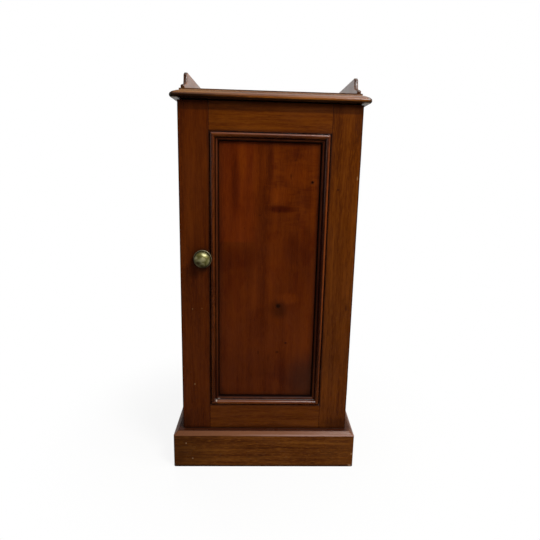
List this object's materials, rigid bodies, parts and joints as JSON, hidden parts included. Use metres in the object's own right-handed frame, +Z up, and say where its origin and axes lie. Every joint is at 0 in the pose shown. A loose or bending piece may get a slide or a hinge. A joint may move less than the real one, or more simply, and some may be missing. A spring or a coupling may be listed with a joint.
{
  "type": "nightstand",
  "caption": "Tall mahogany bedside pot cupboard: moulded plinth, one framed and panelled door with a brass turn knob, thumb-moulded top with a low gallery.",
  "frame": {"origin": "floor level, halfway from side to side and halfway from the front of the knob to the back", "axes": "+Z up, +X to the right of someone facing the door, +Y from the door towards the back"},
  "size_m": [0.4088, 0.3921, 0.8578],
  "materials": {
    "mahogany": "French polished",
    "pine": "planed, stained by age",
    "dowel": "turned beech",
    "brass": "aged, lightly polished",
    "steel": "dark, dull"
  },
  "bodies": {
    "cupboard": {"back_board_1": "pine", "back_board_2": "pine", "back_board_3": "pine", "back_left_glue_block": "pine", "back_right_glue_block": "pine", "back_screws": "steel", "back_top_rail": "pine", "base_board": "pine", "front_left_glue_block": "pine", "front_right_glue_block": "pine", "front_top_rail": "pine", "gallery_back": "mahogany", "gallery_dowels": "dowel", "gallery_left": "mahogany", "gallery_right": "mahogany", "hinge_frame_screws": "brass", "keeper_screws": "brass", "latch_keeper": "brass", "left_bearer_screws": "steel", "left_shelf_bearer": "pine", "left_side": "mahogany", "lower_hinge_frame_leaf": "brass", "lower_hinge_pin": "steel", "plinth_back_rail": "pine", "plinth_front": "mahogany", "plinth_front_rail": "pine", "plinth_left": "mahogany", "plinth_right": "mahogany", "right_bearer_screws": "steel", "right_shelf_bearer": "pine", "right_side": "mahogany", "shelf": "pine", "top_board": "mahogany", "top_screws": "steel", "upper_hinge_frame_leaf": "brass", "upper_hinge_pin": "steel"},
    "door": {"bottom_moulding": "mahogany", "bottom_rail": "mahogany", "door_panel": "mahogany", "hinge_door_screws": "brass", "knob_rose": "brass", "left_moulding": "mahogany", "left_stile": "mahogany", "lower_hinge_door_leaf": "brass", "right_moulding": "mahogany", "right_stile": "mahogany", "spindle_washer": "brass", "top_moulding": "mahogany", "top_rail": "mahogany", "upper_hinge_door_leaf": "brass"},
    "knob": {"knob": "brass", "knob_spindle": "steel", "latch_tongue": "steel", "spindle_nut": "steel"}
  },
  "joints": [
    {"name": "door_hinge", "type": "hinge", "parent": "cupboard", "child": "door", "pos_m": [0.1876, -0.1445, 0.4425], "axis": [0, 0, 1], "range_deg": [0, 180]},
    {"name": "knob_turn", "type": "hinge", "parent": "door", "child": "knob", "pos_m": [-0.137, -0.169, 0.4815], "axis": [0, -1, 0], "range_deg": [0, 90]}
  ]
}
